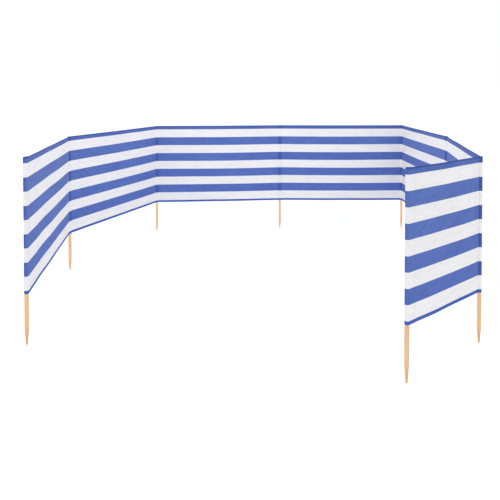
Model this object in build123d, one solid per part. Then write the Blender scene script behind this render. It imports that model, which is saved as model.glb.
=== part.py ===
"""A beach windbreak: eight wooden stakes and seven bays of cloth, set up as an open U.

The cloth is one long strip with a sewn pocket round each stake, so the line can turn at
every inner stake. Units are millimetres. +Z is up, +X runs to the right along the back
bay, and the U opens towards -Y. The origin is on the blunt tip of the fourth stake.
"""
from build123d import *
import math
import os

# Driving dimensions of the stakes
STAKE_DIAMETER = 24.0
STAKE_BELOW_CLOTH = 300.0
TAPER_LENGTH = 85.0
TIP_DIAMETER = 9.0
TOP_CHAMFER = 1.5

# Driving dimensions of the cloth
CLOTH_HEIGHT = 800.0
CLOTH_THICKNESS = 1.5
TOP_HEM_HEIGHT = 36.0
BOTTOM_HEM_HEIGHT = 20.0
HEM_THICKNESS = 2.6

# Driving dimensions of the pockets round the stakes
POCKET_CLEARANCE = 0.3
POCKET_WALL = 1.2
POCKET_CAP = 1.2

# Gap between the end of a bay and the round face of the pocket it meets
FOLD_GAP = 0.3

# How the line is set out: the distance between stakes, and the turn at each inner stake
BAY_LENGTH = 1300.0
LAST_BAY_LENGTH = 700.0
FULL_BAYS = 6
TURNS = (31.0, 62.0, 5.0, 90.0, 12.0, 40.0)
ORIGIN_STAKE = 4

# Sizes that follow from the driving dimensions
STAKE_RADIUS = STAKE_DIAMETER / 2
POCKET_INNER_RADIUS = STAKE_RADIUS + POCKET_CLEARANCE
POCKET_OUTER_RADIUS = POCKET_INNER_RADIUS + POCKET_WALL
CLOTH_BOTTOM = STAKE_BELOW_CLOTH
CLOTH_TOP = CLOTH_BOTTOM + CLOTH_HEIGHT
STAKE_LENGTH = CLOTH_TOP - POCKET_CAP - POCKET_CLEARANCE
BAY_LENGTHS = [BAY_LENGTH] * FULL_BAYS + [LAST_BAY_LENGTH]


def bay_headings():
    """Direction of each bay in degrees from +X, with the bay after the origin stake along +X."""
    headings = [0.0]
    for turn in TURNS:
        headings.append(headings[-1] - turn)
    back_heading = headings[ORIGIN_STAKE - 1]
    return [heading - back_heading for heading in headings]


def stake_places(headings):
    """Plan position of every stake, with the origin stake at (0, 0)."""
    places = [(0.0, 0.0)]
    for length, heading in zip(BAY_LENGTHS, headings):
        x, y = places[-1]
        angle = math.radians(heading)
        places.append((x + length * math.cos(angle), y + length * math.sin(angle)))
    origin_x, origin_y = places[ORIGIN_STAKE - 1]
    return [(x - origin_x, y - origin_y) for x, y in places]


def make_stake():
    """A round dowel, tapered to a blunt tip that stands on z = 0."""
    shoulder = STAKE_LENGTH - TOP_CHAMFER
    outline = Polyline(
        (0, 0),
        (TIP_DIAMETER / 2, 0),
        (STAKE_RADIUS, TAPER_LENGTH),
        (STAKE_RADIUS, shoulder),
        (STAKE_RADIUS - TOP_CHAMFER, STAKE_LENGTH),
        (0, STAKE_LENGTH),
        close=True,
    )
    return revolve(Plane.XZ * make_face(outline), Axis.Z)


def make_pocket():
    """The sewn sleeve of cloth round a stake, open below and closed over the stake's top."""
    base = (Align.CENTER, Align.CENTER, Align.MIN)
    sleeve = Cylinder(POCKET_OUTER_RADIUS, CLOTH_HEIGHT, align=base)
    hollow = Cylinder(POCKET_INNER_RADIUS, CLOTH_HEIGHT - POCKET_CAP, align=base)
    return Pos(0, 0, CLOTH_BOTTOM) * (sleeve - hollow)


def make_band(length, thickness, low, high):
    """A flat upright strip between two stakes, with its ends hollowed to fit round the pockets."""
    height = high - low
    strip = Box(length, thickness, height, align=(Align.MIN, Align.CENTER, Align.MIN))
    relief = Cylinder(POCKET_OUTER_RADIUS + FOLD_GAP, height, align=(Align.CENTER, Align.CENTER, Align.MIN))
    strip = strip - relief - Pos(length, 0, 0) * relief
    return Pos(0, 0, low) * strip


def make_bay(length):
    """One bay of cloth: the striped cloth, its top hem and its bottom hem."""
    lower_seam = CLOTH_BOTTOM + BOTTOM_HEM_HEIGHT
    upper_seam = CLOTH_TOP - TOP_HEM_HEIGHT
    return {
        "cloth": make_band(length, CLOTH_THICKNESS, lower_seam, upper_seam),
        "top_hem": make_band(length, HEM_THICKNESS, upper_seam, CLOTH_TOP),
        "bottom_hem": make_band(length, HEM_THICKNESS, CLOTH_BOTTOM, lower_seam),
    }


def main():
    os.makedirs("parts", exist_ok=True)
    headings = bay_headings()
    places = stake_places(headings)
    stake = make_stake()
    pocket = make_pocket()
    for number, (x, y) in enumerate(places, start=1):
        export_step(Pos(x, y, 0) * stake, f"parts/stake_{number}.step")
        export_step(Pos(x, y, 0) * pocket, f"parts/pocket_{number}.step")
    for number, (length, heading, (x, y)) in enumerate(zip(BAY_LENGTHS, headings, places), start=1):
        for name, band in make_bay(length).items():
            placed = Pos(x, y, 0) * Rot(0, 0, heading) * band
            export_step(placed, f"parts/{name}_{number}.step")


main()
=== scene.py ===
"""Looks of the beach windbreak: striped canvas bays, hems, sewn pockets and wooden stakes.

Lengths are in metres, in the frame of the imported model. Places come from the model's own
nodes. On the cloth, u runs along the whole strip and v up from its lower edge. Within one bay,
s is the distance from its first stake.
"""

from collections import namedtuple
import math

import bpy
import numpy as np
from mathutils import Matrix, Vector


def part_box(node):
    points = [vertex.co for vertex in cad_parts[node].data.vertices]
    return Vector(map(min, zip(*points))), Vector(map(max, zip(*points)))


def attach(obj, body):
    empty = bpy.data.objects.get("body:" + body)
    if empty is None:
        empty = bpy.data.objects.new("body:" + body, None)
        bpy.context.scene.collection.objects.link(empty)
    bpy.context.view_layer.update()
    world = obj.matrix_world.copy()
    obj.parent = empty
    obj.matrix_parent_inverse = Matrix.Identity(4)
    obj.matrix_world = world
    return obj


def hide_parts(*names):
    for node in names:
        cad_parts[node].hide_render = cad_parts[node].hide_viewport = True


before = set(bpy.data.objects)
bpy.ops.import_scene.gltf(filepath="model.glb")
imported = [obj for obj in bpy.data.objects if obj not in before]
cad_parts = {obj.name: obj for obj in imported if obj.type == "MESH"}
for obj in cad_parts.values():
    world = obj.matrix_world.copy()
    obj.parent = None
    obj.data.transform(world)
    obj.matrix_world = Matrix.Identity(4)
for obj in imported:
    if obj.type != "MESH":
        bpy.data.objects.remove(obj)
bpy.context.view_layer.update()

# Counts. Stakes and bays are numbered from the left end of the strip. The root section has the
# origin stake at its left end.
STAKES = 8
BAYS = STAKES - 1
ORIGIN_STAKE = 4

# White and blue stripes of one height by turns, white beside both hems
STRIPES = 9

# The cloth's build. Where a bay turns into a round pocket, the cloth flares to meet it, and a
# share of each hem's ply merges with the flare. The lap is how far the bay goes into the
# pocket's wall, and the inset is how far the striped cloth stops short of the rolled edges.
CANVAS_THICKNESS = 0.0007
SLEEVE_WALL = 0.001
SEAM_FLARE = 0.0014
SEAM_FLARE_REACH = 0.006
HEM_MERGE = 0.75
POCKET_LAP = 0.0006
SHEET_INSET = 0.002

# A hem's cross-section, from its sewn edge to its rolled edge: distances from the sewn edge,
# then distances from the rolled edge, and how many plies the hem stands proud at each of them
HEM_PLY = 0.0005
HEM_PLIES = (0.2, 1.0, 1.2, 1.5, 1.5, 1.0, 0.0)
HEM_LIFT = HEM_PLY * max(HEM_PLIES)
TOP_HEM_FROM_SEWN = (0.0, 0.0004, 0.004)
TOP_HEM_FROM_ROLLED = (0.016, 0.006, 0.0012, 0.0003)
BOTTOM_HEM_FROM_SEWN = (0.0, 0.0004, 0.003)
BOTTOM_HEM_FROM_ROLLED = (0.009, 0.004, 0.0012, 0.0003)

# Spacing of the cloth's mesh, closer together beside the pockets, and the distance over which
# its slope is measured
COLUMN_STEP = 0.011
SEAM_COLUMN_STEP = 0.004
SEAM_ZONE = 0.05
ROW_STEP = 0.0095
SLOPE_STEP = 0.001

# The pockets at the two ends of the strip have flat sides, sewn together beside the stake.
# One side is in line with the cloth, and the other comes round from behind the stake. The seam
# is measured from the stake's middle, and the cloth is tucked in between the sides. The inner
# wall lies a step inside the outer one there, and the seam is pinched together at the top. The
# free side is dented more and less up the stake, in radians to a metre.
END_SEAM = 0.046
END_SEAM_FLAT = 0.007
END_TUCK = 0.01
END_PLY = 0.0004
END_INNER_STEP = 0.0002
END_PINCH = 0.9
END_DENT = 0.0007
END_DENTS_UP = 21
END_SIDE_POINTS = 5

# All pockets. The inner wall leaves a gap round the stake. It is drawn in at the top, where
# each pair has a depth below the pocket's top and how far it is drawn in there.
POCKET_SIDES = 48
POCKET_ROW_STEP = 0.012
POCKET_DOME = 0.004
POCKET_DOME_STEPS = 6
POCKET_LOWER_EDGE = 0.0008
POCKET_HEM_STEP = 0.0005
POCKET_INNER_GAP = 0.0004
POCKET_INNER_TOP = ((0.0007, 0.0018), (0.0015, 0.0011), (0.0035, 0.0))

# Shallow creases on the pockets: radians to a metre up, and waves round the stake. They fade
# out within the reach where an end pocket's sides leave the stake.
POCKET_CREASE = 0.00009
POCKET_CREASES = ((95, 2), (160, -3), (44, 1))
POCKET_CREASE_REACH = 0.003

# The pockets' pattern is taken from past the end of the strip, a whole number to a pocket
POCKET_PATTERN = 20

# How the cloth hangs between two stakes. The sag wanders a little along the bay, and shifts
# by some radians from the lower edge to the upper. The billow is less at both edges.
SAG_TOP = 0.0015
SAG_MIDDLE = 0.0055
SAG_BOTTOM = 0.002
SAG_WANDER = 0.18
SAG_WANDER_UP = 2.0
BILLOW = 0.006
BILLOW_SIZES = (0.5, 1.0)
BILLOW_AT_EDGES = 0.55

# Random numbers start from one of these seeds plus the number of the bay or the pocket, and
# the phases of waves are drawn from a whole turn in radians
BAY_SEED = 100
POCKET_SEED = 200
PHASES = (0, 6.3)

# Broad waves in the cloth. Pairs are limits between which each wave's own number is drawn:
# lengths in metres along, slants, and sizes as shares of the largest height. Waves and creases
# are flattened towards the pockets by a power.
FLATTEN_POWER = 0.7
BROAD_WAVES = 5
BROAD_WAVE_HEIGHT = 0.0009
BROAD_WAVE_LENGTHS = (0.34, 0.75)
BROAD_WAVE_SLANTS = (-0.9, 0.9)
BROAD_WAVE_SIZES = (0.5, 1.0)

# The creases run nearly level: waves to a metre along, and lengths in metres up
CREASES = 6
CREASE_HEIGHT = 0.00035
CREASES_ALONG = (0.5, 2.2)
CREASE_LENGTHS_UP = (0.045, 0.09)
CREASE_SIZES = (0.4, 1.0)

# A ripple stands beside each pocket. It rises and fades within these distances from it, and
# drifts to and fro up the cloth, by radians and in radians to a metre.
RIPPLE_HEIGHT = 0.0014
RIPPLE_LENGTHS = (0.02, 0.045)
RIPPLE_SIZES = (0.6, 1.0)
RIPPLE_RISE = 0.01
RIPPLE_FADE = 0.06
RIPPLE_DRIFT = 0.5
RIPPLE_DRIFTS_UP = 5.0

# Stitches, and how far their rows are from the edges that they hold
STITCH_PITCH = 0.0042
STITCH_LENGTH = 0.0032
STITCH_WIDTH = 0.0008
STITCH_HEIGHT = 0.0003
STITCH_MARGIN = 0.004
HEM_STITCH_INSET = 0.0025
SEAM_STITCH_INSET = 0.006
END_STITCH_INSET = 0.0035

# Colours as they are seen, red, green and blue from 0 to 255
WHITE_CLOTH = (240, 239, 241)
# Painted light and shade up the cloth: the blue is greyer and lighter at the top and deeper at the bottom
BLUE_CLOTH_UPPER_PAINTED_LIGHT = (101, 127, 195)
BLUE_CLOTH_LOWER_PAINTED_SHADE = (93, 122, 201)
BLUE_CLOTH_DEEP = (82, 107, 182)
# Painted shade in the crinkles of the blue
BLUE_CLOTH_CREASE_SHADE = (74, 98, 170)
# Painted shade of the pockets
BLUE_POCKET_SHADE = (66, 89, 160)
TOP_HEM = (79, 104, 178)
# Painted shade along the top hem's rolled edge
TOP_HEM_EDGE_SHADE = (58, 81, 156)
BOTTOM_HEM = (60, 91, 180)
WOOD_LIGHT = (244, 204, 160)
WOOD_DARK = (226, 180, 133)
WOOD_TIP = (225, 159, 102)
WHITE = (1.0, 1.0, 1.0, 1.0)
FLOOR_GREY = (0.82, 0.82, 0.82, 1.0)

# The share of painted shade in the pockets' blue, the height of the painted shade along the top
# hem's rolled edge, how sharply an end pocket's painted shade changes at its fold, and the
# threads' shades
POCKET_SHADE_SHARE = 0.75
ROLLED_EDGE_SHADE_HEIGHT = 0.006
FOLD_BLEND = 0.001
CLEAR_THREAD_SHADE = 0.97
BLUE_THREAD_SHADE = 0.85

# Noise patterns: how often they repeat in a metre along three axes, and the noise's own values
Pattern = namedtuple("Pattern", "repeats detail roughness distortion")
MOTTLE = Pattern((2.2, 3.4, 1.0), 3.0, 0.5, 0.0)
SLUB = Pattern((5.0, 230.0, 1.0), 2.0, 0.6, 0.0)
PICK = Pattern((190.0, 9.0, 1.0), 2.0, 0.6, 0.0)
CRINKLE = Pattern((14.0, 75.0, 1.0), 4.0, 0.55, 0.5)
STREAK = Pattern((7.0, 36.0, 1.0), 3.0, 0.6, 0.4)
GRAIN = Pattern((260.0, 260.0, 6.0), 4.0, 0.6, 0.4)
FIBRE = Pattern((900.0, 900.0, 25.0), 2.0, 0.6, 0.0)
PATCH = Pattern((9.0, 9.0, 3.0), 2.0, 0.5, 0.0)

# The fine crinkles run down to the right at this slant, in radians
CRINKLE_SLANT = 0.38

# The tone that each pattern gives, from its low values to its high ones. The crinkles' tone is painted
# shade in the crinkles.
NOISE_RANGE = (0.3, 0.7)
SLUB_TONES = (0.965, 1.025)
PICK_TONES = (0.985, 1.012)
MOTTLE_TONES = (0.975, 1.015)
CRINKLE_SHADE_TONES = (0.96, 1.04)
STREAK_TONES = (0.975, 1.025)
FIBRE_TONES = (0.95, 1.03)

# The share of a second colour that a pattern mixes in: its value from and to, then the share
# from and to. The cut taper goes by the height above the stake's tip.
MOTTLE_IN_HEMS = (0.3, 0.7, 0.0, 0.25)
MOTTLE_IN_STRIPES = (0.35, 0.65, 0.0, 0.6)
# Painted shade in the crinkles of the blue stripes
CRINKLE_SHADE_IN_STRIPES = (0.35, 0.65, 0.0, 0.65)
DARK_IN_GRAIN = (0.35, 0.68, 0.0, 1.0)
DARK_IN_PATCH = (0.4, 0.75, 0.0, 0.35)
CUT_TAPER = (0.015, 0.1, 0.95, 0.0)

# Relief of the canvas and the wood, made by bump, and how they take the light
WARP_SCALE = 350.0
WEFT_SCALE = 300.0
WEAVE_RELIEF = 0.12
CRINKLE_RELIEF = 1.6
SLUB_RELIEF = 0.35
CANVAS_BUMP = 0.55
CANVAS_BUMP_DEPTH = 0.0006
CANVAS_ROUGHNESS = 0.9
CANVAS_SPECULAR = 0.12
CANVAS_SHEEN = 0.05
CANVAS_SHEEN_ROUGHNESS = 0.5
FIBRE_RELIEF = 0.5
WOOD_BUMP = 0.4
WOOD_BUMP_DEPTH = 0.0004
WOOD_ROUGHNESS = 0.62
WOOD_SPECULAR = 0.35

# The studio: a wide floor just below the tips, an even sky, a broad soft sun from in front and
# above, and a lamp panel over the sheltered space. Angles are in degrees. The lift is the floor's
# own light, which only the camera, reflections and glass see.
FLOOR_SIZE = 400
FLOOR_DROP = 0.0005
FLOOR_LIFT = 0.26
SKY_SEEN = 1.0
SKY_LIGHT = 0.98
SUN_STRENGTH = 0.3
SUN_WIDTH = 80
SUN_TILT = 52
PANEL_POWER = 17.0
PANEL_SIZE = 2.2
PANEL_PLACE = (-0.2, -1.3, 2.9)

# The camera stands in front of the open side and looks down by its pitch in degrees. Its shift
# frames the windbreak: AXIS_ROW is the row of the picture that the lens points at.
CAMERA_FROM_ORIGIN_STAKE = (-0.3183, -5.6872)
CAMERA_ABOVE_CLOTH = 0.4018
CAMERA_PITCH = 1.3
CAMERA_REACH = 500
FOCAL_PIXELS = 534.2
AXIS_ROW = 99.6
IMAGE_SIZE = 500
SENSOR = 36.0


def centre_of(node):
    """The middle of the box round a node."""
    low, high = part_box(node)
    return (low + high) / 2


# Places and sizes from the model's own nodes
STAKE_PLACES = [np.array(centre_of(f"stake_{k}")[:2]) for k in range(1, STAKES + 1)]
STAKE_RADIUS = (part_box("stake_4")[1].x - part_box("stake_4")[0].x) / 2
CLOTH_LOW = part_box("pocket_4")[0].z
CLOTH_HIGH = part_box("pocket_4")[1].z
CLOTH_HEIGHT = CLOTH_HIGH - CLOTH_LOW
STRIPES_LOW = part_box("bottom_hem_4")[1].z - CLOTH_LOW
STRIPES_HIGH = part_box("top_hem_4")[0].z - CLOTH_LOW
STRIPE = (STRIPES_HIGH - STRIPES_LOW) / STRIPES
FULL_BAY = float(np.linalg.norm(STAKE_PLACES[1] - STAKE_PLACES[0]))
SLEEVE_RADIUS = STAKE_RADIUS + SLEEVE_WALL
CLOTH_START = SLEEVE_RADIUS - POCKET_LAP


def linear(colour):
    """A colour from 0 to 255 as the linear red, green, blue and alpha that Blender's nodes take."""
    def channel(value):
        value /= 255
        return value / 12.92 if value <= 0.04045 else ((value + 0.055) / 1.055) ** 2.4
    return (*[channel(value) for value in colour], 1.0)


class NodeBuilder:
    """Adds shader nodes to one tree in few words."""

    def __init__(self, tree, output="OutputMaterial"):
        self.tree = tree
        self.tree.nodes.clear()
        self.output = self.add(output)

    def add(self, kind, inputs=None, **settings):
        node = self.tree.nodes.new("ShaderNode" + kind)
        for key, value in settings.items():
            setattr(node, key, value)
        for key, value in (inputs or {}).items():
            self.plug(value, node.inputs[key])
        return node

    def plug(self, value, socket):
        if isinstance(value, bpy.types.NodeSocket):
            self.tree.links.new(value, socket)
        else:
            socket.default_value = value

    def math(self, operation, a, b):
        return self.add("Math", {0: a, 1: b}, operation=operation).outputs[0]

    def mix(self, share, a, b, blend="MIX"):
        """Two colours mixed; 6 and 7 are a Mix node's two colour inputs, and 2 is its colour."""
        inputs = {"Factor": share, 6: a, 7: b}
        return self.add("Mix", inputs, data_type="RGBA", blend_type=blend).outputs[2]

    def noise(self, vector, pattern):
        """The noise of a named pattern, from 0 to 1."""
        inputs = {
            "Vector": self.add("Mapping", {"Vector": vector, "Scale": pattern.repeats}).outputs[0],
            "Scale": 1.0,
            "Detail": pattern.detail,
            "Roughness": pattern.roughness,
            "Distortion": pattern.distortion,
        }
        return self.add("TexNoise", inputs).outputs[0]

    def remap(self, value, low, high, new_low, new_high):
        inputs = {"Value": value, "From Min": low, "From Max": high, "To Min": new_low, "To Max": new_high}
        return self.add("MapRange", inputs).outputs[0]

    def toned(self, colour, tone):
        """A colour made lighter or darker by a tone round 1."""
        grey = self.add("CombineColor", {0: tone, 1: tone, 2: tone}).outputs[0]
        return self.mix(1.0, colour, grey, "MULTIPLY")

    def seen_directly(self):
        """1 for rays from the camera, off a glossy surface or through glass, and 0 for the rest."""
        path = self.add("LightPath").outputs
        seen = self.math("MAXIMUM", path["Is Camera Ray"], path["Is Glossy Ray"])
        return self.math("MAXIMUM", seen, path["Is Transmission Ray"])

    def principled(self, **inputs):
        """Ends the tree in the usual surface shader, with underscores for spaces in the names."""
        named = {key.replace("_", " "): value for key, value in inputs.items()}
        shader = self.add("BsdfPrincipled", named)
        self.plug(shader.outputs[0], self.output.inputs[0])


def new_material(name):
    """An empty material and the builder of its nodes."""
    material = bpy.data.materials.new(name)
    material.use_nodes = True
    return material, NodeBuilder(material.node_tree)


# What the colour functions go by: the place on the cloth and two of its noise patterns
ClothPoint = namedtuple("ClothPoint", "u v mottle crinkle")


def top_hem_colour(build, cloth):
    """The top hem's blue, with a band of painted shade along its rolled edge."""
    # Painted shade: the share of the darker blue near the rolled edge
    rolled = build.remap(cloth.v, CLOTH_HEIGHT - 2 * ROLLED_EDGE_SHADE_HEIGHT, CLOTH_HEIGHT - ROLLED_EDGE_SHADE_HEIGHT, 0.0, 1.0)
    mottle = build.remap(cloth.mottle, *MOTTLE_IN_HEMS)
    blue = build.mix(mottle, linear(TOP_HEM), linear(BLUE_CLOTH_UPPER_PAINTED_LIGHT))
    return build.mix(rolled, blue, linear(TOP_HEM_EDGE_SHADE))


def bottom_hem_colour(build, cloth):
    """The bottom hem's deeper blue."""
    mottle = build.remap(cloth.mottle, *MOTTLE_IN_HEMS)
    return build.mix(mottle, linear(BOTTOM_HEM), linear(BLUE_CLOTH_LOWER_PAINTED_SHADE))


def stripe_colour(build, cloth, depth=0.0):
    """Blue or white by the height on the cloth, with the two hems' colours beyond them.

    The depth is the share of the pockets' painted shade in the blue. The blue also has painted light and
    shade up the cloth.
    """
    # Painted light and shade: the blue goes from its deeper lower tone to its lighter, greyer upper tone up
    # the cloth
    up = build.remap(cloth.v, STRIPES_LOW, STRIPES_HIGH, 0.0, 1.0)
    blue = build.mix(up, linear(BLUE_CLOTH_LOWER_PAINTED_SHADE), linear(BLUE_CLOTH_UPPER_PAINTED_LIGHT))
    blue = build.mix(build.remap(cloth.mottle, *MOTTLE_IN_STRIPES), blue, linear(BLUE_CLOTH_DEEP))
    # Painted shade: the blue darkens with the crinkles
    blue = build.mix(build.remap(cloth.crinkle, *CRINKLE_SHADE_IN_STRIPES), blue, linear(BLUE_CLOTH_CREASE_SHADE))
    # Painted shade of the pockets, on the blue and on the top hem's blue
    blue = build.mix(depth, blue, linear(BLUE_POCKET_SHADE))
    top_hem_blue = build.mix(depth, top_hem_colour(build, cloth), linear(BLUE_POCKET_SHADE))
    below_hem = build.math("SUBTRACT", STRIPES_HIGH, cloth.v)
    within_repeat = build.math("FLOORED_MODULO", below_hem, 2 * STRIPE)
    is_blue = build.math("GREATER_THAN", within_repeat, STRIPE)
    colour = build.mix(is_blue, linear(WHITE_CLOTH), blue)
    in_top_hem = build.math("GREATER_THAN", cloth.v, STRIPES_HIGH)
    colour = build.mix(in_top_hem, colour, top_hem_blue)
    in_bottom_hem = build.math("LESS_THAN", cloth.v, STRIPES_LOW)
    return build.mix(in_bottom_hem, colour, bottom_hem_colour(build, cloth))


def pocket_colour(build, cloth):
    """The stripes of a pocket, with painted shade deepening its blue."""
    return stripe_colour(build, cloth, POCKET_SHADE_SHARE)


def end_pocket_colour(build, cloth):
    """The stripes of an end pocket, with painted shade deepening the blue on the free side, where u is just
    below a whole number.
    """
    beside_fold = build.math("FLOORED_MODULO", build.math("ADD", cloth.u, 0.5), 1.0)
    depth = build.remap(beside_fold, 0.5 - FOLD_BLEND, 0.5 + FOLD_BLEND, POCKET_SHADE_SHARE, 0.0)
    return stripe_colour(build, cloth, depth)


def canvas_material(name, paint, shade=1.0):
    """Woven canvas coloured by the function paint, with yarn, slubs, streaks and crinkles, and painted
    shade that follows the crinkles.
    """
    material, build = new_material(name)
    uv = build.add("UVMap", uv_map="cloth").outputs[0]
    u_and_v = build.add("SeparateXYZ", {0: uv}).outputs
    turned = build.add("Mapping", {"Vector": uv, "Rotation": (0.0, 0.0, CRINKLE_SLANT)}).outputs[0]
    mottle = build.noise(uv, MOTTLE)
    slub = build.noise(uv, SLUB)
    crinkle = build.noise(turned, CRINKLE)
    tone = shade
    # The crinkles' share of the tone is painted shade
    for noise, tones in (
        (slub, SLUB_TONES),
        (build.noise(uv, PICK), PICK_TONES),
        (mottle, MOTTLE_TONES),
        (crinkle, CRINKLE_SHADE_TONES),
        (build.noise(uv, STREAK), STREAK_TONES),
    ):
        tone = build.math("MULTIPLY", tone, build.remap(noise, *NOISE_RANGE, *tones))
    colour = paint(build, ClothPoint(u_and_v[0], u_and_v[1], mottle, crinkle))
    warp = build.add("TexWave", {"Vector": uv, "Scale": WARP_SCALE}, wave_type="BANDS", bands_direction="X")
    weft = build.add("TexWave", {"Vector": uv, "Scale": WEFT_SCALE}, wave_type="BANDS", bands_direction="Y")
    weave = build.math("MULTIPLY", warp.outputs[1], weft.outputs[1])
    height = build.math("MULTIPLY", weave, WEAVE_RELIEF)
    height = build.math("ADD", height, build.math("MULTIPLY", crinkle, CRINKLE_RELIEF))
    height = build.math("ADD", height, build.math("MULTIPLY", slub, SLUB_RELIEF))
    bump = build.add("Bump", {"Strength": CANVAS_BUMP, "Distance": CANVAS_BUMP_DEPTH, "Height": height})
    build.principled(
        Base_Color=build.toned(colour, tone),
        Roughness=CANVAS_ROUGHNESS,
        Normal=bump.outputs[0],
        Specular_IOR_Level=CANVAS_SPECULAR,
        Sheen_Weight=CANVAS_SHEEN,
        Sheen_Roughness=CANVAS_SHEEN_ROUGHNESS,
    )
    return material


def wood_material():
    """Sanded pine dowel: grain up the stake, a few darker streaks, and a browner cut taper."""
    material, build = new_material("stake_wood")
    place = build.add("TexCoord").outputs["Object"]
    above_tip = build.add("SeparateXYZ", {0: place}).outputs[2]
    grain = build.noise(place, GRAIN)
    fibre = build.noise(place, FIBRE)
    colour = build.mix(build.remap(grain, *DARK_IN_GRAIN), linear(WOOD_LIGHT), linear(WOOD_DARK))
    patch = build.remap(build.noise(place, PATCH), *DARK_IN_PATCH)
    colour = build.mix(patch, colour, linear(WOOD_DARK))
    colour = build.mix(build.remap(above_tip, *CUT_TAPER), colour, linear(WOOD_TIP))
    tone = build.remap(fibre, *NOISE_RANGE, *FIBRE_TONES)
    relief = build.math("ADD", grain, build.math("MULTIPLY", fibre, FIBRE_RELIEF))
    bump = build.add("Bump", {"Strength": WOOD_BUMP, "Distance": WOOD_BUMP_DEPTH, "Height": relief})
    build.principled(
        Base_Color=build.toned(colour, tone),
        Roughness=WOOD_ROUGHNESS,
        Normal=bump.outputs[0],
        Specular_IOR_Level=WOOD_SPECULAR,
    )
    return material


def floor_material():
    """Pale studio floor that the camera sees as white, and that still takes a soft shadow."""
    material, build = new_material("studio_floor")
    build.principled(
        Base_Color=FLOOR_GREY,
        Roughness=1.0,
        Specular_IOR_Level=0.0,
        Emission_Color=WHITE,
        Emission_Strength=build.math("MULTIPLY", build.seen_directly(), FLOOR_LIFT),
    )
    return material


class Wave:
    """A straight wave on the cloth, by its waves to a metre along and up, phase and height."""

    def __init__(self, along, up, phase, height):
        self.along = along
        self.up = up
        self.phase = phase
        self.height = height

    def at(self, s, v):
        return self.height * np.sin(2 * np.pi * (self.along * s + self.up * v) + self.phase)


def draw_broad_wave(random):
    """A broad wave that runs along the bay and leans to one side."""
    along = 1 / random.uniform(*BROAD_WAVE_LENGTHS)
    slant = random.uniform(*BROAD_WAVE_SLANTS)
    phase = random.uniform(*PHASES)
    return Wave(along, along * slant, phase, BROAD_WAVE_HEIGHT * random.uniform(*BROAD_WAVE_SIZES))


def draw_crease(random):
    """A shallow crease that runs nearly level."""
    along = random.uniform(*CREASES_ALONG)
    up = 1 / random.uniform(*CREASE_LENGTHS_UP)
    phase = random.uniform(*PHASES)
    return Wave(along, up, phase, CREASE_HEIGHT * random.uniform(*CREASE_SIZES))


class Ripple:
    """An upright ripple beside a pocket, which rises, fades and drifts."""

    def __init__(self, random):
        self.length = random.uniform(*RIPPLE_LENGTHS)
        self.phase = random.uniform(*PHASES)
        self.height = RIPPLE_HEIGHT * random.uniform(*RIPPLE_SIZES)

    def at(self, near, v):
        """Its height at a distance near from the pocket, and v up the cloth."""
        fade = np.exp(-near / RIPPLE_FADE) * np.clip(near / RIPPLE_RISE, 0, 1)
        drift = RIPPLE_DRIFT * np.sin(RIPPLE_DRIFTS_UP * v + self.phase)
        return self.height * fade * np.sin(2 * np.pi * near / self.length + drift)


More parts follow.
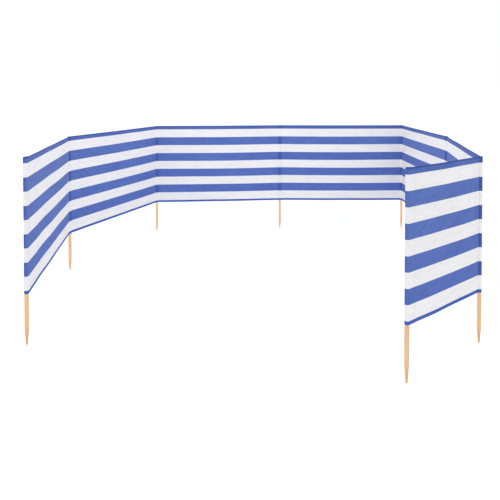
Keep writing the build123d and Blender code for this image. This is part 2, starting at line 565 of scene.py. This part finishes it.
class Bay:
    """The curved middle surface of one bay of cloth, between two stakes."""

    def __init__(self, number, strip_start):
        self.number = number
        self.strip_start = strip_start
        start, end = STAKE_PLACES[number - 1], STAKE_PLACES[number]
        self.start = np.array([*start, CLOTH_LOW])
        self.length = float(np.linalg.norm(end - start))
        self.along = np.array([*(end - start) / self.length, 0.0])
        self.across = np.array([-self.along[1], self.along[0], 0.0])
        self.starts_strip = number == 1
        self.ends_strip = number == BAYS
        # The free cloth ends at the pockets. At a flat seam the mesh goes on between its two sides.
        self.free_first = END_SEAM if self.starts_strip else CLOTH_START
        self.free_last = self.length - (END_SEAM if self.ends_strip else CLOTH_START)
        self.first = self.free_first - (END_TUCK if self.starts_strip else 0)
        self.last = self.free_last + (END_TUCK if self.ends_strip else 0)
        random = np.random.default_rng(BAY_SEED + number)
        self.waves = [draw_broad_wave(random) for _ in range(BROAD_WAVES)]
        self.waves += [draw_crease(random) for _ in range(CREASES)]
        self.first_ripple = Ripple(random)
        self.last_ripple = Ripple(random)
        self.billow = BILLOW * random.uniform(*BILLOW_SIZES)

    def lean(self, distance):
        """How far the strip's end stands off the stakes' line, at a distance from its last stake."""
        return (SLEEVE_RADIUS - CANVAS_THICKNESS / 2 - END_PLY) * (1 - distance / self.length)

    def share(self, s):
        """The share of the free cloth, from 0 to 1, that lies before the places s."""
        return np.clip((s - self.free_first) / (self.free_last - self.free_first), 0, 1)

    def bulge(self, s, v):
        """How far the cloth stands off its straight line, for places s along and v up the bay."""
        arch = np.sin(np.pi * self.share(s))
        flattened = arch ** FLATTEN_POWER
        up = v / CLOTH_HEIGHT
        total = self.billow * arch * (BILLOW_AT_EDGES + (1 - BILLOW_AT_EDGES) * np.sin(np.pi * up))
        for wave in self.waves:
            total = total + flattened * wave.at(s, v)
        total = total + self.first_ripple.at(np.maximum(s - self.free_first, 0), v)
        total = total + self.last_ripple.at(np.maximum(self.free_last - s, 0), v)
        if self.starts_strip:
            total = total - self.lean(s)
        if self.ends_strip:
            total = total + self.lean(self.length - s)
        return total

    def sag(self, s, v):
        """How far the cloth hangs below its straight line."""
        share = self.share(s)
        up = v / CLOTH_HEIGHT
        depth = np.interp(up, [0.0, 0.5, 1.0], [SAG_BOTTOM, SAG_MIDDLE, SAG_TOP])
        wander = 1.0 + SAG_WANDER * np.sin(2 * np.pi * share + self.number + SAG_WANDER_UP * up)
        return depth * 4 * share * (1 - share) * wander * (self.length / FULL_BAY) ** 2

    def points(self, s, v, offset):
        """Places on the cloth at s along and v up, moved off the middle surface by offset."""
        slope_s = self.bulge(s + SLOPE_STEP, v) - self.bulge(s - SLOPE_STEP, v)
        slope_v = self.bulge(s, v + SLOPE_STEP) - self.bulge(s, v - SLOPE_STEP)
        slope_s, slope_v = slope_s / (2 * SLOPE_STEP), slope_v / (2 * SLOPE_STEP)
        up = np.array([0.0, 0.0, 1.0])
        normal = self.across - slope_s[..., None] * self.along - slope_v[..., None] * up
        normal /= np.linalg.norm(normal, axis=-1, keepdims=True)
        place = self.start + s[..., None] * self.along + (v - self.sag(s, v))[..., None] * up
        return place + self.bulge(s, v)[..., None] * self.across + offset[..., None] * normal

    def columns(self):
        """Places along the bay for the mesh's columns, closer together beside the pockets."""
        zone = np.arange(0, SEAM_ZONE, SEAM_COLUMN_STEP)
        middle_count = int((self.last - self.first - 2 * SEAM_ZONE) / COLUMN_STEP)
        middle = np.linspace(self.first + SEAM_ZONE, self.last - SEAM_ZONE, middle_count)
        return np.concatenate([self.first + zone, middle, (self.last - zone)[::-1]])

    def half_thickness(self, s, extra):
        """Half the cloth's thickness, with an extra ply where there is one.

        The cloth thickens a little where it turns into a round pocket, and the ply merges with
        it there.
        """
        turn = np.zeros_like(s)
        if not self.starts_strip:
            turn += np.exp(-np.maximum(s - self.first, 0) / SEAM_FLARE_REACH)
        if not self.ends_strip:
            turn += np.exp(-np.maximum(self.last - s, 0) / SEAM_FLARE_REACH)
        return CANVAS_THICKNESS / 2 + extra * (1 - HEM_MERGE * turn) + SEAM_FLARE * turn


def lay_out_bays():
    """All the bays, each with the place where it begins along the whole strip."""
    bays = []
    strip_start = 0.0
    for number in range(1, BAYS + 1):
        bays.append(Bay(number, strip_start))
        strip_start += bays[-1].length
    return bays


def mesh_object(name, points, faces, uvs, material):
    """A smooth mesh object from points and faces, with one uv pair to a point."""
    mesh = bpy.data.meshes.new(name)
    mesh.from_pydata([tuple(p) for p in points], [], [tuple(f) for f in faces])
    layer = mesh.uv_layers.new(name="cloth")
    corners = np.zeros(len(mesh.loops), dtype=np.int64)
    mesh.loops.foreach_get("vertex_index", corners)
    layer.data.foreach_set("uv", np.asarray(uvs, dtype=np.float32)[corners].ravel())
    mesh.polygons.foreach_set("use_smooth", [True] * len(mesh.polygons))
    mesh.materials.append(material)
    mesh.update()
    obj = bpy.data.objects.new(name, mesh)
    bpy.context.scene.collection.objects.link(obj)
    return obj


def profile_strip(name, bay, profile, material):
    """A solid strip along a bay. Its closed cross-section is a list of (v, side, extra ply)."""
    s = bay.columns()
    columns, rows = len(s), len(profile)
    points, uvs = [], []
    for v, side, extra in profile:
        height = np.full_like(s, v)
        points.extend(bay.points(s, height, side * bay.half_thickness(s, extra)))
        uvs.extend(np.stack([s + bay.strip_start, height], axis=-1))
    faces = []
    for row in range(rows):
        for column in range(columns - 1):
            a, b = row * columns + column, (row + 1) % rows * columns + column
            faces.append((b, b + 1, a + 1, a))
    first_end = [row * columns for row in range(rows)]
    faces.append(first_end[::-1])
    faces.append([corner + columns - 1 for corner in first_end])
    return mesh_object(name, points, faces, uvs, material)


def striped_sheet(bay, material):
    """The striped cloth of a bay, as a thin closed sheet from the lower hem to the upper."""
    low, high = SHEET_INSET, CLOTH_HEIGHT - SHEET_INSET
    heights = np.linspace(low, high, int((high - low) / ROW_STEP))
    profile = [(v, 1, 0.0) for v in heights] + [(v, -1, 0.0) for v in heights[::-1]]
    return profile_strip(f"striped_sheet_{bay.number}", bay, profile, material)


def hem_fold(name, bay, heights, rolled_edge, first_side, material):
    """A hem: the cloth folded over one edge, down both faces, with a round fold at the edge."""
    plies = [share * HEM_PLY for share in HEM_PLIES]
    first = [(v, first_side, ply) for v, ply in zip(heights, plies)]
    second = [(v, -first_side, ply) for v, ply in zip(heights, plies)]
    return profile_strip(name, bay, first + [(rolled_edge, 0, 0.0)] + second[::-1], material)


def top_hem(bay, material):
    """The wide hem folded over the cloth's upper edge."""
    heights = [STRIPES_HIGH + distance for distance in TOP_HEM_FROM_SEWN]
    heights += [CLOTH_HEIGHT - distance for distance in TOP_HEM_FROM_ROLLED]
    return hem_fold(f"top_hem_fold_{bay.number}", bay, heights, CLOTH_HEIGHT, 1, material)


def bottom_hem(bay, material):
    """The narrow hem turned up round the cloth's lower edge."""
    heights = [STRIPES_LOW - distance for distance in BOTTOM_HEM_FROM_SEWN]
    heights += BOTTOM_HEM_FROM_ROLLED
    return hem_fold(f"bottom_hem_fold_{bay.number}", bay, heights, 0.0, -1, material)


# One stitch: its place on the bay, whether it lies along the cloth or stands up it, and how far
# the cloth's surface is lifted there by extra plies
Stitch = namedtuple("Stitch", "s v lies_along lift")


def stitching(name, bay, row, material):
    """Short raised stitches on both faces, each with four corners, a crest and a root."""
    s, v, lies_along, lift = (np.array(values) for values in zip(*row))
    points, faces, uvs = [], [], []
    for side in (1, -1):
        surface = bay.half_thickness(s, lift)
        corners = []
        for forward, sideways in ((1, 0), (0, 1), (-1, 0), (0, -1)):
            forward, sideways = forward * STITCH_LENGTH / 2, sideways * STITCH_WIDTH / 2
            ds = np.where(lies_along, forward, sideways)
            dv = np.where(lies_along, sideways, forward)
            corners.append(bay.points(s + ds, v + dv, side * surface))
        crest = bay.points(s, v, side * (surface + STITCH_HEIGHT))
        root = bay.points(s, v, side * (surface - STITCH_HEIGHT))
        blocks = np.stack([*corners, crest, root], axis=1)
        per_stitch = blocks.shape[1]
        for number, stitch in enumerate(row):
            first = len(points) + number * per_stitch
            turned = (side == 1) == stitch.lies_along
            for corner in range(len(corners)):
                a, b = first + corner, first + (corner + 1) % len(corners)
                if turned:
                    a, b = b, a
                faces += [(a, b, first + len(corners)), (b, a, first + len(corners) + 1)]
        points.extend(blocks.reshape(-1, 3))
        uvs.extend(np.repeat(np.stack([s + bay.strip_start, v], axis=-1), per_stitch, axis=0))
    return mesh_object(name, points, faces, uvs, material)


def in_hem(v):
    """Whether a height on the cloth is in one of the two hems."""
    return v < STRIPES_LOW or v > STRIPES_HIGH


def hem_row(bay):
    """The stitches of the two hems' long rows."""
    places = np.arange(bay.free_first + STITCH_MARGIN, bay.free_last - STITCH_MARGIN, STITCH_PITCH)
    heights = (STRIPES_HIGH + HEM_STITCH_INSET, STRIPES_LOW - HEM_STITCH_INSET)
    return [Stitch(s, v, True, HEM_PLY) for v in heights for s in places]


def seam_row(bay):
    """The stitches of the upright rows beside the two pockets."""
    heights = np.arange(STITCH_MARGIN, CLOTH_HEIGHT - STITCH_MARGIN, STITCH_PITCH)
    row = []
    for edge, inwards, at_end in (
        (bay.free_first, 1, bay.starts_strip),
        (bay.free_last, -1, bay.ends_strip),
    ):
        inset = -END_STITCH_INSET if at_end else SEAM_STITCH_INSET
        ply = END_PLY if at_end else 0.0
        for v in heights:
            row.append(Stitch(edge + inwards * inset, v, False, ply + (HEM_LIFT if in_hem(v) else 0.0)))
    return row


def round_outline(radius):
    """Plan points of a round pocket."""
    angle = np.linspace(0, 2 * np.pi, POCKET_SIDES, endpoint=False)
    return radius * np.cos(angle), radius * np.sin(angle)


def end_outline(radius, seam_half, dent, bay):
    """Plan points of an end pocket: round the stake, with two sides that meet in a flat seam.

    The free side comes first and is dented, and the side level with the cloth comes last.
    """
    corner = END_SEAM - END_SEAM_FLAT
    share = np.linspace(0, 1, END_SIDE_POINTS + 1)[1:]
    tangents, sides = [], []
    for side in (1, -1):
        corner_y = side * seam_half - bay.lean(corner)
        seam_y = side * seam_half - bay.lean(END_SEAM)
        tangent = math.atan2(corner_y, corner) + side * math.acos(radius / math.hypot(corner, corner_y))
        x = (1 - share) * radius * math.cos(tangent) + share * corner
        y = (1 - share) * radius * math.sin(tangent) + share * corner_y
        if side == 1:
            y = y - dent * np.sin(np.pi * share)
        tangents.append(tangent)
        sides.append((np.append(x, END_SEAM), np.append(y, seam_y)))
    angle = np.linspace(tangents[0], 2 * np.pi + tangents[1], POCKET_SIDES - 2 * (END_SIDE_POINTS + 1))
    (free_x, free_y), (level_x, level_y) = sides
    x = np.concatenate([free_x[::-1], radius * np.cos(angle), level_x])
    y = np.concatenate([free_y[::-1], radius * np.sin(angle), level_y])
    return x, y


# One row of a pocket: its height, how far it is drawn in, and whether it is on the inner wall
PocketRow = namedtuple("PocketRow", "v shrink inside")


def pocket_rows():
    """Rows of a pocket: down its inner wall, round its lower edge, up and over its top."""
    beside_hems = [
        edge + step for edge in (STRIPES_LOW, STRIPES_HIGH) for step in (-POCKET_HEM_STEP, POCKET_HEM_STEP)
    ]
    rows = [PocketRow(CLOTH_HEIGHT - depth, shrink, True) for depth, shrink in POCKET_INNER_TOP]
    rows += [PocketRow(height, 0.0, True) for height in reversed(beside_hems)]
    rows.append(PocketRow(POCKET_LOWER_EDGE, 0.0, True))
    rows.append(PocketRow(0.0, SLEEVE_WALL / 2, False))
    rows.append(PocketRow(POCKET_LOWER_EDGE, 0.0, False))
    heights = np.arange(POCKET_ROW_STEP, CLOTH_HEIGHT - POCKET_DOME, POCKET_ROW_STEP)
    rows += [PocketRow(height, 0.0, False) for height in sorted([*heights, *beside_hems])]
    for step in range(1, POCKET_DOME_STEPS + 1):
        turn = step / POCKET_DOME_STEPS * np.pi / 2
        height = CLOTH_HEIGHT - POCKET_DOME + POCKET_DOME * math.sin(turn)
        rows.append(PocketRow(height, POCKET_DOME * (1 - math.cos(turn)), False))
    return rows


def pocket_sleeve(number, bay, material):
    """The sewn pocket round a stake: soft cloth with shallow creases, closed at the top.

    The bay is one beside the stake. An end pocket reaches towards it with its flat seam.
    """
    at_end = number in (1, STAKES)
    along = bay.along if number < STAKES else -bay.along
    across = np.array([-along[1], along[0], 0.0])
    base = np.array([*STAKE_PLACES[number - 1], CLOTH_LOW])
    phases = np.random.default_rng(POCKET_SEED + number).uniform(*PHASES, len(POCKET_CREASES))
    rows = pocket_rows()
    points, uvs = [], []
    for v, shrink, inside in rows:
        radius = (STAKE_RADIUS + POCKET_INNER_GAP if inside else SLEEVE_RADIUS) - shrink
        if at_end:
            seam_half = CANVAS_THICKNESS / 2 + END_PLY + (HEM_LIFT if in_hem(v) else 0.0)
            seam_half -= END_INNER_STEP if inside else 0.0
            seam_half *= 1 - END_PINCH * shrink / POCKET_DOME
            dent = END_DENT * (0.5 + 0.5 * math.sin(END_DENTS_UP * v + phases[0]))
            x, y = end_outline(radius, seam_half, dent, bay)
        else:
            x, y = round_outline(radius)
        swell = 1.0
        if not inside:
            angle = np.arctan2(y, x)
            crease = -len(POCKET_CREASES)
            for (turns_up, turns_round), phase in zip(POCKET_CREASES, phases):
                crease = crease + np.sin(turns_up * v + turns_round * angle + phase)
            on_stake = np.clip(1 - (np.hypot(x, y) - radius) / POCKET_CREASE_REACH, 0, 1)
            swell = 1 + POCKET_CREASE * crease * on_stake / radius
        ring = base + (x * swell)[:, None] * along + (y * swell)[:, None] * across
        ring[:, 2] += v
        points.extend(ring)
        round_it = np.cumsum(np.hypot(np.diff(x, prepend=x[0]), np.diff(y, prepend=y[0])))
        from_fold = round_it - round_it[np.argmin(x)]
        uvs.extend(np.stack([from_fold + POCKET_PATTERN + number, np.full_like(x, v)], axis=-1))
    faces = []
    for row in range(len(rows) - 1):
        for side in range(POCKET_SIDES):
            a = row * POCKET_SIDES + side
            b = row * POCKET_SIDES + (side + 1) % POCKET_SIDES
            faces.append((a, b, b + POCKET_SIDES, a + POCKET_SIDES))
    last = (len(rows) - 1) * POCKET_SIDES
    faces.append(list(reversed(range(POCKET_SIDES))))
    faces.append([last + side for side in range(POCKET_SIDES)])
    return mesh_object(f"pocket_sleeve_{number}", points, faces, uvs, material)


def body_of_stake(number):
    """The section that carries a stake: of the bays beside it, the one nearer the back bay."""
    if number <= ORIGIN_STAKE:
        return f"section_{number}"
    return f"section_{number - 1}"


def build_cloth():
    """All the bays with their hems and stitching, and the pockets between them."""
    bays = lay_out_bays()
    striped = canvas_material("striped_canvas", stripe_colour)
    top_canvas = canvas_material("top_hem_canvas", top_hem_colour)
    bottom_canvas = canvas_material("bottom_hem_canvas", bottom_hem_colour)
    # The pockets' canvas and the seams' clear thread carry the pockets' painted shade
    pocket_canvas = canvas_material("pocket_canvas", pocket_colour)
    end_pocket_canvas = canvas_material("end_pocket_canvas", end_pocket_colour)
    thread = canvas_material("clear_thread", pocket_colour, CLEAR_THREAD_SHADE)
    blue_thread = canvas_material("blue_thread", top_hem_colour, BLUE_THREAD_SHADE)
    for number in range(1, STAKES + 1):
        canvas = end_pocket_canvas if number in (1, STAKES) else pocket_canvas
        sleeve = pocket_sleeve(number, bays[min(number, BAYS) - 1], canvas)
        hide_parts(f"pocket_{number}")
        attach(sleeve, body_of_stake(number))
    for bay in bays:
        number = bay.number
        sheet = striped_sheet(bay, striped)
        upper = top_hem(bay, top_canvas)
        lower = bottom_hem(bay, bottom_canvas)
        hem_rows = stitching(f"hem_stitching_{number}", bay, hem_row(bay), blue_thread)
        seam_rows = stitching(f"pocket_stitching_{number}", bay, seam_row(bay), thread)
        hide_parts(f"cloth_{number}")
        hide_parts(f"top_hem_{number}")
        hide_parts(f"bottom_hem_{number}")
        for piece in (sheet, upper, lower, hem_rows, seam_rows):
            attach(piece, f"section_{number}")


def dress_stakes():
    """Gives the stakes of the model their wood."""
    wood = wood_material()
    for number in range(1, STAKES + 1):
        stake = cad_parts[f"stake_{number}"]
        for slot in stake.material_slots:
            slot.material = wood


def build_sky():
    """An even white sky, which lights the object a little less than it is seen."""
    world = bpy.data.worlds.new("studio")
    bpy.context.scene.world = world
    world.use_nodes = True
    build = NodeBuilder(world.node_tree, "OutputWorld")
    light = build.add("Background", {0: WHITE, 1: SKY_LIGHT})
    seen = build.add("Background", {0: WHITE, 1: SKY_SEEN})
    mix = build.add("MixShader", {0: build.seen_directly(), 1: light.outputs[0], 2: seen.outputs[0]})
    build.plug(mix.outputs[0], build.output.inputs[0])


def add_lamp(name, kind, strength):
    """A lamp of the kind and strength, in the scene."""
    data = bpy.data.lights.new(name, kind)
    data.energy = strength
    lamp = bpy.data.objects.new(name, data)
    bpy.context.scene.collection.objects.link(lamp)
    return lamp


def build_stage():
    """A wide pale floor, an even sky, one broad soft sun and one lamp panel."""
    bpy.ops.mesh.primitive_plane_add(size=FLOOR_SIZE, location=(0, 0, -FLOOR_DROP))
    floor = bpy.context.object
    floor.name = "studio_floor"
    floor.data.materials.append(floor_material())
    build_sky()
    sun = add_lamp("soft_lamp", "SUN", SUN_STRENGTH)
    sun.data.angle = math.radians(SUN_WIDTH)
    sun.rotation_euler = (math.radians(SUN_TILT), 0, 0)
    panel = add_lamp("overhead_panel", "AREA", PANEL_POWER)
    panel.data.size = PANEL_SIZE
    panel.location = PANEL_PLACE
    panel.visible_camera = False


def build_camera():
    """A nearly level camera in front of the open side, shifted down to frame the windbreak."""
    data = bpy.data.cameras.new("camera")
    data.sensor_width = SENSOR
    data.lens = FOCAL_PIXELS / IMAGE_SIZE * SENSOR
    data.shift_y = -(IMAGE_SIZE / 2 - AXIS_ROW) / IMAGE_SIZE
    data.clip_end = CAMERA_REACH
    camera = bpy.data.objects.new("camera", data)
    x, y = STAKE_PLACES[ORIGIN_STAKE - 1] + np.array(CAMERA_FROM_ORIGIN_STAKE)
    camera.location = (x, y, CLOTH_HIGH + CAMERA_ABOVE_CLOTH)
    camera.rotation_euler = (math.radians(90 - CAMERA_PITCH), 0, 0)
    bpy.context.scene.collection.objects.link(camera)
    bpy.context.scene.camera = camera


build_camera()
build_stage()
build_cloth()
dress_stakes()

bpy.context.scene.view_settings.view_transform = "Standard"
